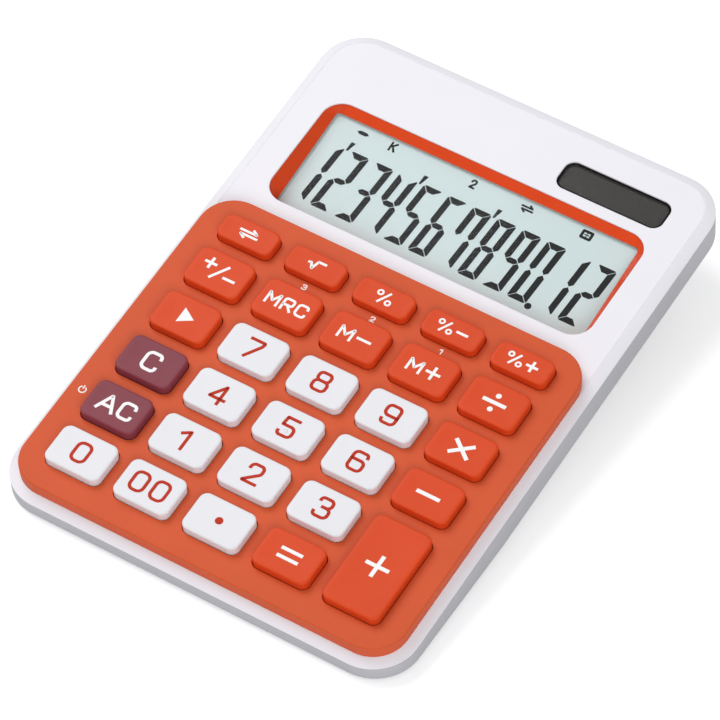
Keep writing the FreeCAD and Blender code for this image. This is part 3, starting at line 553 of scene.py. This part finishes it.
# each stroke: points in a box one wide and one high, corner radius in mm, closed or not
strokes = {
    "0": [([(0, 0), (1, 0), (1, 1), (0, 1)], 1.25, True)],
    "1": [([(0.08, 0.78), (0.6, 1), (0.6, 0)], 0.05, False)],
    "2": [([(0.03, 0.76), (0.03, 1), (0.97, 1), (0.97, 0.6), (0.02, 0.03, 0.08), (0.04, 0, 0.02), (1, 0)],
           1.0, False)],
    "3": [([(0.02, 0.84), (0.02, 1), (0.94, 1), (0.94, 0.53), (0.4, 0.53)], 0.95, False),
          ([(0.62, 0.53), (1, 0.53), (1, 0), (0, 0), (0, 0.17)], 1.0, False)],
    "4": [([(0.74, 0), (0.74, 1), (-0.04, 0.27), (1.04, 0.27)], 0.05, False)],
    "5": [([(0.97, 1), (0.12, 1, 0.05), (0.06, 0.58, 0.05), (1, 0.58), (1, 0), (0, 0), (0, 0.17)],
           1.0, False)],
    "6": [([(0.97, 0.84), (0.97, 1), (0, 1), (0, 0), (1, 0), (1, 0.57), (0.02, 0.57)], 1.0, False)],
    "7": [([(0, 1), (1.02, 1), (0.94, 0.78), (0.2, 0)], 0.2, False)],
    "8": [([(0.05, 0.54), (0.95, 0.54), (0.95, 1), (0.05, 1)], 0.85, True),
          ([(0, 0), (1, 0), (1, 0.54), (0, 0.54)], 0.95, True)],
    "9": [([(0.03, 0.16), (0.03, 0), (1, 0), (1, 1), (0, 1), (0, 0.43), (0.98, 0.43)], 1.0, False)],
    "C": [([(1, 0.8), (1, 1), (0, 1), (0, 0), (1, 0), (1, 0.2)], 1.2, False)],
    "A": [([(0, 0), (0.5, 1), (1, 0)], 0.12, False), ([(0.24, 0.3), (0.76, 0.3)], 0, False)],
    "M": [([(0, 0), (0, 1), (0.5, 0.3), (1, 1), (1, 0)], 0.1, False)],
    "R": [([(0, 0), (0, 1), (1, 1), (1, 0.45), (0.05, 0.45)], 0.8, False),
          ([(0.5, 0.45), (1, 0)], 0, False)],
    "K": [([(0, 0), (0, 1)], 0, False), ([(1, 1), (0.02, 0.42)], 0, False),
          ([(0.36, 0.62), (1, 0)], 0, False)],
    "+": [([(0, 0.5), (1, 0.5)], 0, False), ([(0.5, 0), (0.5, 1)], 0, False)],
    "-": [([(0, 0.5), (1, 0.5)], 0, False)],
    "=": [([(0, 0.0), (1, 0.0)], 0, False), ([(0, 1), (1, 1)], 0, False)],
    "x": [([(0, 0), (1, 1)], 0, False), ([(0, 1), (1, 0)], 0, False)],
    "root": [([(0, 0.62), (0.12, 0.66), (0.34, 0.05), (0.52, 1), (1, 1)], 0.08, False)],
    "slash": [([(0, 0), (1, 1)], 0, False)],
    "swap": [([(0, 0.7), (0.92, 0.7), (0.66, 1.0)], 0.05, False),
             ([(1, 0.3), (0.08, 0.3), (0.34, 0)], 0.05, False)],
}


# points of a line with its corners turned into arcs
def roundedPath(points, radius, closed):
    count = len(points)
    path = []
    for i in range(count):
        here = Vector(points[i][:2])
        if not closed and i in (0, count - 1):
            path.append(here)
            continue
        before = Vector(points[i - 1][:2]) - here
        after = Vector(points[(i + 1) % count][:2]) - here
        turn = math.pi - before.angle(after)
        bendRadius = points[i][2] if len(points[i]) > 2 else radius
        if bendRadius <= 0 or turn < 0.05:
            path.append(here)
            continue
        room = [0.96 if not closed and end else 0.48 for end in (i == 1, i == count - 2)]
        reach = min(bendRadius * math.tan(turn / 2), room[0] * before.length, room[1] * after.length)
        bend = reach / math.tan(turn / 2)
        start = here + before.normalized() * reach
        inward = (before.normalized() + after.normalized()).normalized()
        centre = here + inward * math.hypot(bend, reach)
        first = start - centre
        side = 1 if before.x * after.y - before.y * after.x < 0 else -1
        for k in range(7):
            a = side * turn * k / 6
            path.append(centre + Vector((first.x * math.cos(a) - first.y * math.sin(a),
                                         first.x * math.sin(a) + first.y * math.cos(a))))
    return path


# flat raised line of a given width along a path
def strokeRibbon(shell, points, width, closed, low, high):
    if not closed:
        points = list(points)
        points[0] = points[0] + (points[0] - points[1]).normalized() * width * 0.5
        points[-1] = points[-1] + (points[-1] - points[-2]).normalized() * width * 0.5
    count = len(points)
    rows = []
    for i in range(count):
        if closed or i < count - 1:
            ahead = points[(i + 1) % count] - points[i]
        else:
            ahead = points[i] - points[i - 1]
        behind = points[i] - points[i - 1] if closed or i > 0 else ahead
        ahead = ahead.normalized()
        behind = behind.normalized()
        along = (ahead + behind).normalized()
        normal = Vector((-along.y, along.x))
        stretch = min(1 / max(normal.dot(Vector((-ahead.y, ahead.x))), 0.3), 2.2)
        offset = normal * width * 0.5 * stretch
        left = points[i] + offset
        right = points[i] - offset
        start = len(shell.points)
        shell.points += [shell.place(left.x, left.y, low), shell.place(right.x, right.y, low),
                         shell.place(right.x, right.y, high), shell.place(left.x, left.y, high)]
        rows.append([start, start + 1, start + 2, start + 3])
    for i in range(count if closed else count - 1):
        a, b = rows[i], rows[(i + 1) % count]
        for k in range(4):
            m = (k + 1) % 4
            shell.faces.append((a[k], a[m], b[m], b[k]))
    if not closed:
        shell.faces.append(tuple(reversed(rows[0])))
        shell.faces.append(tuple(rows[-1]))


# one sign in a box whose lower left corner is x, y
def drawGlyph(shell, name, x, y, width, height, weight, low, high):
    half = weight / 2
    for order, (points, radius, closed) in enumerate(strokes[name]):
        scaled = [(x + half + p[0] * (width - weight), y + half + p[1] * (height - weight), *p[2:])
                  for p in points]
        path = roundedPath(scaled, radius * height / 5.4, closed)
        strokeRibbon(shell, path, weight, closed, low, high + 0.002 * order)


def drawRow(shell, names, middle, height, weight, widths, gap, low, high):
    total = sum(widths) + gap * (len(names) - 1)
    x = middle[0] - total / 2
    for name, width in zip(names, widths):
        drawGlyph(shell, name, x, middle[1] - height / 2, width, height, weight, low, high)
        x += width + gap


legendLook = {"digitHeight": 5.75, "digitWidth": 4.2, "weight": 0.78, "thick": 0.03,
              "signSize": 5.9, "signWeight": 0.95}
legendLow = keyTop - keyLook["dish"] - 0.03
legendHigh = keyTop + legendLook["thick"] - keyLook["dish"] + 0.02


# plus, slash and minus side by side, each a step lower than the last
def drawSign(shell, centre):
    x, y = centre
    low, high = legendLow, legendHigh
    drawGlyph(shell, "+", x - 4.7, y - 0.2, 3.2, 3.2, 0.7, low, high)
    drawGlyph(shell, "slash", x - 1.7, y - 2.4, 3.3, 4.8, 0.66, low, high)
    drawGlyph(shell, "-", x + 1.4, y - 2.5, 3.2, 3.2, 0.7, low, high)


def drawPercent(shell, x, y, height, weight):
    low, high = legendLow, legendHigh
    drawGlyph(shell, "slash", x - height * 0.32, y - height / 2, height * 0.64, height, weight * 0.9,
              low, high)
    for side in (-1, 1):
        ringX, ringY = x + side * height * 0.4, y - side * height * 0.27
        ring = [Vector(p) for p in circleLoop(ringX, ringY, height * 0.17, 20)]
        strokeRibbon(shell, ring, weight * 0.75, True, low, high + 0.002)


def makeLegend(node):
    box = capBoxes[node]
    name = keyLayout[node]
    x, y = (box[0] + box[1]) / 2, (box[2] + box[3]) / 2
    low, high = legendLow, legendHigh
    size, weight = legendLook["signSize"], legendLook["signWeight"]
    height, width = legendLook["digitHeight"], legendLook["digitWidth"]
    shell = Shell()
    if name in tuple("123456789") or name in ("0", "00"):
        drawRow(shell, list(name), (x, y), height, legendLook["weight"], [width] * len(name), 1.15, low, high)
    elif name == "point":
        shell.prism(circleLoop(x, y, 0.95), low, high)
    elif name == "=":
        drawGlyph(shell, "=", x - 2.6, y - 1.45, 5.4, 3.0, 0.85, low, high)
    elif name == "-":
        drawGlyph(shell, "-", x - size / 2, y - size / 2, size, size, weight, low, high)
    elif name == "+":
        drawGlyph(shell, "+", x - size / 2, y - size / 2, size, size, weight, low, high)
    elif name == "x":
        drawGlyph(shell, "x", x - 2.45, y - 2.25, 5.1, 4.3, weight, low, high)
    elif name == "div":
        drawGlyph(shell, "-", x - size / 2, y - size / 2, size, size, weight, low, high)
        for side in (-1, 1):
            shell.prism(circleLoop(x, y + side * 1.95, 0.66, 24), low, high)
    elif name == "right":
        shell.prism([(x - 1.3, y - 2.15), (x + 2.2, y), (x - 1.3, y + 2.15)], low, high)
    elif name == "C":
        drawGlyph(shell, "C", x - 2.1, y - 2.75, 4.3, 5.5, 0.8, low, high)
    elif name == "AC":
        drawRow(shell, ["A", "C"], (x + 0.1, y), 5.0, 0.78, [4.7, 4.0], 0.5, low, high)
    elif name == "MR":
        drawRow(shell, ["M", "R", "C"], (x, y), 3.7, 0.62, [3.5, 3.0, 3.0], 0.6, low, high)
    elif name in ("M-", "M+"):
        drawGlyph(shell, "M", x - 4.2, y - 1.85, 3.7, 3.7, 0.62, low, high)
        drawGlyph(shell, name[1], x + 0.4, y - 1.85, 3.7, 3.7, 0.68, low, high)
    elif name == "sign":
        drawSign(shell, (x, y))
    elif name == "root":
        drawGlyph(shell, "root", x - 2.2, y - 1.5, 4.4, 3.0, 0.62, low, high)
    elif name == "swap":
        drawGlyph(shell, "swap", x - 2.6, y - 1.6, 5.2, 3.2, 0.6, low, high)
    elif name == "%":
        drawPercent(shell, x, y, 3.6, 0.62)
    elif name in ("%-", "%+"):
        drawPercent(shell, x - 2.0, y, 3.4, 0.6)
        drawGlyph(shell, name[1], x + 0.9, y - 1.5, 3.0, 3.0, 0.66, low, high)
    ink = "redInk" if slotOf[node] == "white_key" else "whiteInk"
    piece = shell.finished(node + "_legend", materials[ink], sharpAngle=20, evenOut=False)
    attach(piece, node)
    return piece


for node in keyLayout:
    makeLegend(node)
print("legends made")


# small plain numerals over the memory keys and a standby ring beside the all-clear key
def makePanelMarks():
    look = {"height": 1.55, "weight": 0.3, "over": 1.15, "ringRadius": 0.85}
    panelTop = bodyBox("face_panel")[2][1]
    low, high = panelTop - 0.02, panelTop + 0.02
    shell = Shell()
    for digit, node in (("3", "key_memory_recall"), ("2", "key_memory_minus"), ("1", "key_memory_plus")):
        box = capBoxes[node]
        x, y = (box[0] + box[1]) / 2, box[3] + look["over"] + look["height"] / 2
        drawGlyph(shell, digit, x - 0.65, y - look["height"] / 2, 1.3, look["height"], look["weight"],
                  low, high)
    box = capBoxes["key_all_clear"]
    x, y = box[0] - 3.0, (box[2] + box[3]) / 2 + 1.2
    arc = [Vector((x + look["ringRadius"] * math.cos(math.radians(a)),
                   y + look["ringRadius"] * math.sin(math.radians(a)))) for a in range(130, 411, 14)]
    strokeRibbon(shell, arc, look["weight"], False, low, high)
    strokeRibbon(shell, [Vector((x, y + 0.35)), Vector((x, y + 1.05))], look["weight"], False, low,
                 high + 0.002)
    piece = shell.finished("panelMarks", materials["whiteInk"], sharpAngle=20, evenOut=False)
    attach(piece, "casing")
    return piece


makePanelMarks()

# display

display = {"frontDepth": 4.94, "backDepth": 1.89, "viewWidth": 81.1, "viewFront": 1.3, "viewBack": 2.05,
           "viewCorner": 0.9, "lip": 0.06, "paneThick": 0.6, "margin": 0.5,
            "glassDrop": 0.7, "glassThick": 1.4}
openingLength = bezelOpening[3] - bezelOpening[2]
glassTilt = math.atan2(display["frontDepth"] - display["backDepth"], openingLength)
glassRun = openingLength / math.cos(glassTilt)
glassPlace = (Matrix.Translation((0, bezelOpening[2], -display["frontDepth"]))
              @ Matrix.Rotation(glassTilt, 4, "X"))


# y from the front of the opening along the pane, z up off the pane
def onGlass(x, y, z):
    return glassPlace @ Vector((x, y, z))


def makeBezel():
    look = {"sink": 0.3, "clear": 0.02, "skirt": 0.35}
    outer = grown(bezelOpening, -look["clear"])
    corner = openings["bezelCorner"]
    view = (-display["viewWidth"] / 2, display["viewWidth"] / 2, display["viewFront"],
            glassRun - display["viewBack"])
    viewLoop = roundedLoop(view, display["viewCorner"])
    foot = [onGlass(x, y, 0.02) for x, y in viewLoop]
    browLoop = roundedLoop(grown(outer, -display["lip"]), corner - display["lip"])
    brow = [Vector((x, y, -look["sink"])) for x, y in browLoop]
    shell = Shell()
    rim = shell.ring(roundedLoop(outer, corner), -look["sink"] - 0.1)
    shoulder = shell.ring(roundedLoop(grown(outer, -0.03), corner - 0.03), -look["sink"])
    rings = [rim, shoulder]
    for share, dip in ((0.0, 0.0), (0.02, 0.04), (0.06, 0.08), (0.3, 0.0), (0.6, 0.0), (0.9, 0.0),
                       (1.0, 0.0)):
        rings.append(shell.ringOf([a.lerp(b, share) - Vector((0, 0, dip)) for a, b in zip(brow, foot)]))
    for lower, upper in zip(rings, rings[1:]):
        shell.bridge(lower, upper)
    skirt = shell.ringOf([onGlass(x, y, 0.02) for x, y in roundedLoop(
        (outer[0], outer[1], look["skirt"], glassRun - look["skirt"]), corner)])
    shell.bridge(rings[-1], skirt)
    shell.bridge(skirt, rim)
    return stand(shell.finished("displayBezel", materials["orange_bezel"], sharpAngle=60), "display_bezel")


def glassPlate(name, material, low, high):
    half = -bezelOpening[0] + display["margin"]
    box = (-half, half, -display["margin"], glassRun + display["margin"])
    shell = Shell(onGlass)
    rings = [shell.ring(roundedLoop(box, 0.4, 3), low), shell.ring(roundedLoop(box, 0.4, 3), high - 0.08),
             shell.ring(roundedLoop(grown(box, -0.08), 0.32, 3), high)]
    shell.stack(rings)
    shell.faces.append(tuple(rings[-1]))
    shell.faces.append(tuple(reversed(rings[0])))
    return shell.finished(name, material)


makeBezel()
stand(glassPlate("displayWindow", materials["clear_acrylic"], -display["paneThick"], 0.0), "display_window")
lcd = glassPlate("lcdGlass", materials["lcd_glass"], -display["glassDrop"] - display["glassThick"],
                 -display["glassDrop"])
stand(lcd, "lcd_glass")

digit = {"firstRight": 39.0, "pitch": 6.63, "width": 5.0, "height": 17.1, "low": 5.6, "weight": 1.6,
         "gap": 0.11, "corner": 0.5, "slant": 4.2}
litSegments = {"0": "abcdef", "1": "bc", "2": "abged", "3": "abgcd", "4": "fgbc", "5": "afgcd",
               "6": "afgedc", "7": "fabc", "8": "abcdefg", "9": "abfgcd"}


# outlines of the seven bars of a digit, from its lower left corner
def segmentLoops(look):
    w, h, t, g, c = look["width"], look["height"], look["weight"], look["gap"], look["corner"]
    middle = h / 2
    top = [(c + g, h), (w - c - g, h), (w - c * 0.4 - g, h - c * 0.4), (w - t - g, h - t), (t + g, h - t),
           (c * 0.4 + g, h - c * 0.4)]
    upperLeft = [(0, h - c - g), (c * 0.4, h - c * 0.4 - g), (t, h - t - g), (t, middle + t * 0.5 + g),
                 (t * 0.5, middle + g), (0, middle + t * 0.5 + g)]
    bar = [(t * 0.5 + g, middle), (t + g, middle + t * 0.45), (w - t - g, middle + t * 0.45),
           (w - t * 0.5 - g, middle), (w - t - g, middle - t * 0.45), (t + g, middle - t * 0.45)]
    mirrorX = [(w - x, y) for x, y in upperLeft]
    flip = [(x, h - y) for x, y in upperLeft]
    return {"a": top, "b": mirrorX, "c": [(w - x, y) for x, y in flip], "d": [(x, h - y) for x, y in top],
            "e": flip, "f": upperLeft, "g": bar}


def counterClockwise(loop):
    area = sum(loop[i - 1][0] * loop[i][1] - loop[i][0] * loop[i - 1][1] for i in range(len(loop)))
    return loop if area > 0 else list(reversed(loop))


def makeDigits():
    look = digit
    shell = Shell(onGlass)
    loops = segmentLoops(look)
    lean = math.tan(math.radians(look["slant"]))
    low, high = -display["glassDrop"], -display["glassDrop"] + 0.03
    reading = "123456789012"
    marks = {1: "tick", 4: "tick", 7: "tick", 10: "point"}
    for place, figure in enumerate(reading, 1):
        left = (look["firstRight"] - lean * look["height"] - look["width"]
                - (len(reading) - place) * look["pitch"])

        def leaned(points):
            return counterClockwise([(left + x + y * lean, look["low"] + y) for x, y in points])

        for name in litSegments[figure]:
            shell.prism(leaned(loops[name]), low, high)
        if marks.get(place) == "tick":
            x, y = look["width"] + 0.3, look["height"] - 0.5
            shell.prism(leaned([(x, y), (x + 0.5, y), (x + 1.05, y + 2.6), (x - 0.1, y + 2.6)]), low, high)
        if marks.get(place) == "point":
            shell.prism(circleLoop(left + look["width"] + 0.85, look["low"] - 0.15, 0.85, 20), low, high)
    return shell


def makeDisplayMarks():
    low, high = -display["glassDrop"], -display["glassDrop"] + 0.03
    shell = makeDigits()
    minusLoop = [(-34.0, 28.05), (-33.2, 27.55), (-31.6, 27.55), (-30.8, 28.05), (-31.6, 28.55),
                 (-33.2, 28.55)]
    shell.prism(minusLoop, low, high)
    drawGlyph(shell, "K", -25.1, 26.75, 1.8, 2.6, 0.52, low, high)
    drawGlyph(shell, "2", -3.2, 26.7, 1.6, 2.55, 0.5, low, high)
    drawGlyph(shell, "swap", 10.4, 26.75, 3.4, 2.4, 0.5, low, high)
    frameBox = (26.3, 29.3, 26.85, 29.35)
    outline = [Vector(p) for p in roundedLoop(grown(frameBox, -0.35), 0.1, 2)]
    strokeRibbon(shell, outline, 0.7, True, low, high)
    middle = ((frameBox[0] + frameBox[1]) / 2, (frameBox[2] + frameBox[3]) / 2)
    drawGlyph(shell, "-", middle[0] - 0.6, middle[1] - 0.2, 1.2, 0.4, 0.3, low, high)
    for side in (-1, 1):
        shell.prism(circleLoop(middle[0], middle[1] + side * 0.42, 0.16, 10), low, high)
    piece = shell.finished("displayFigures", materials["segmentInk"], sharpAngle=20, evenOut=False)
    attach(piece, "casing")
    return piece


makeDisplayMarks()
print("display made")


# solar cell

def makeSolarCell():
    look = {"paneDrop": 0.42, "paneThick": 0.4, "cellDrop": 0.9, "cellThick": 1.2, "strips": 4, "slit": 0.12,
            "printAndShadeRim": 0.5}
    box = grown(solarOpening, openings["solarMargin"] - 0.1)
    cell = Shell()
    stripWidth = (box[1] - box[0]) / look["strips"]
    for i in range(look["strips"]):
        x = box[0] + i * stripWidth
        strip = (x + look["slit"] / 2, x + stripWidth - look["slit"] / 2, box[2], box[3])
        cell.prism(roundedLoop(strip, 0.05, 1), -look["cellDrop"], -look["cellDrop"] + 0.03)
    cell.prism(roundedLoop(box, 0.3, 3), -look["cellDrop"] - look["cellThick"], -look["cellDrop"] + 0.01)
    stand(cell.finished("solarCell", materials["solar_glass"], sharpAngle=20, evenOut=False), "solar_cell")
    pane = Shell()
    paneBox = grown(solarOpening, -0.04)
    rings = [pane.ring(roundedLoop(paneBox, openings["solarCorner"]), -look["paneDrop"] - look["paneThick"])]
    for inset, drop in filletSteps(0.1, 3):
        rings.append(pane.ring(roundedLoop(grown(paneBox, -inset), openings["solarCorner"] - inset),
                               -look["paneDrop"] - drop))
    pane.stack(rings)
    pane.faces.append(tuple(rings[-1]))
    pane.faces.append(tuple(reversed(rings[0])))
    stand(pane.finished("solarWindow", materials["clear_acrylic"]), "solar_window")
    # black ring round the solar window's rim: partly the pane's printed border, partly painted shade of the
    # recess wall
    edge = Shell()
    path = [Vector(p) for p in roundedLoop(grown(solarOpening, -look["printAndShadeRim"] / 2),
                                           openings["solarCorner"] - 0.2)]
    strokeRibbon(edge, path, look["printAndShadeRim"], True, -look["paneDrop"] - 0.02, -look["paneDrop"] + 0.02)
    printAndShadeRim = edge.finished("solarPrintAndShadeRim", materials["segmentInk"], sharpAngle=20, evenOut=False)
    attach(printAndShadeRim, "casing")


makeSolarCell()
print("solar cell made")

# floor, light and camera


def makeFloor():
    look = {"size": 6.0, "colour": [0.90, 0.90, 0.91], "lift": 0.35}
    bpy.ops.mesh.primitive_plane_add(size=look["size"], location=(0, 0, -0.0002))
    floor = bpy.context.object
    floor.name = "floor"
    material, tree, shader = newMaterial("floor")
    nodes, links = tree.nodes, tree.links
    shader.inputs["Base Color"].default_value = look["colour"] + [1]
    shader.inputs["Roughness"].default_value = 0.9
    glow = nodes.new("ShaderNodeEmission")
    glow.inputs["Color"].default_value = (1, 1, 1, 1)
    rays = nodes.new("ShaderNodeLightPath")
    either = nodes.new("ShaderNodeMath")
    either.operation = "MAXIMUM"
    links.new(rays.outputs["Is Camera Ray"], either.inputs[0])
    links.new(rays.outputs["Is Transmission Ray"], either.inputs[1])
    scaled = nodes.new("ShaderNodeMath")
    scaled.operation = "MULTIPLY"
    scaled.inputs[1].default_value = look["lift"]
    links.new(either.outputs[0], scaled.inputs[0])
    links.new(scaled.outputs[0], glow.inputs["Strength"])
    both = nodes.new("ShaderNodeAddShader")
    links.new(shader.outputs[0], both.inputs[0])
    links.new(glow.outputs[0], both.inputs[1])
    links.new(both.outputs[0], nodes["Material Output"].inputs["Surface"])
    floor.data.materials.append(material)


def addLight(name, place, size, power, aim=(0, 0, 0)):
    lamp = bpy.data.lights.new(name, "AREA")
    lamp.shape = "RECTANGLE"
    lamp.size, lamp.size_y = size
    lamp.energy = power
    light = bpy.data.objects.new(name, lamp)
    bpy.context.scene.collection.objects.link(light)
    light.location = place
    light.rotation_euler = (Vector(aim) - Vector(place)).to_track_quat("-Z", "Y").to_euler()
    return light


def makeStudio():
    makeFloor()
    lamps = {
        "softboxTop": ((-0.80, 0.25, 1.05), (1.0, 0.8), 10.5),
        "softboxFront": ((0.85, -0.95, 0.75), (1.0, 0.6), 8.6),
    }
    for name, (place, size, power) in lamps.items():
        addLight(name, place, size, power)
    world = bpy.data.worlds.new("studio")
    world.use_nodes = True
    sky = world.node_tree.nodes["Background"]
    sky.inputs["Color"].default_value = (1, 1, 1, 1)
    sky.inputs["Strength"].default_value = 0.42
    bpy.context.scene.world = world


def makeCamera():
    look = {"azimuth": 31.31, "elevation": 49.255, "roll": 0.686, "distance": 1.0419, "lens": 230.6,
            "shiftX": 0.003, "aim": (-0.0004, -0.0040, 0.0083)}
    lens = bpy.data.cameras.new("camera")
    lens.lens = look["lens"]
    lens.sensor_width = 36
    lens.shift_x = look["shiftX"]
    lens.clip_end = 20
    camera = bpy.data.objects.new("camera", lens)
    bpy.context.scene.collection.objects.link(camera)
    turn = (Matrix.Rotation(math.radians(look["azimuth"]), 4, "Z")
            @ Matrix.Rotation(math.radians(90 - look["elevation"]), 4, "X")
            @ Matrix.Rotation(math.radians(look["roll"]), 4, "Z"))
    back = turn @ Vector((0, 0, look["distance"]))
    camera.matrix_world = Matrix.Translation(Vector(look["aim"]) + back) @ turn
    bpy.context.scene.camera = camera


makeStudio()
makeCamera()
bpy.context.scene.view_settings.view_transform = "Standard"
print("studio made")
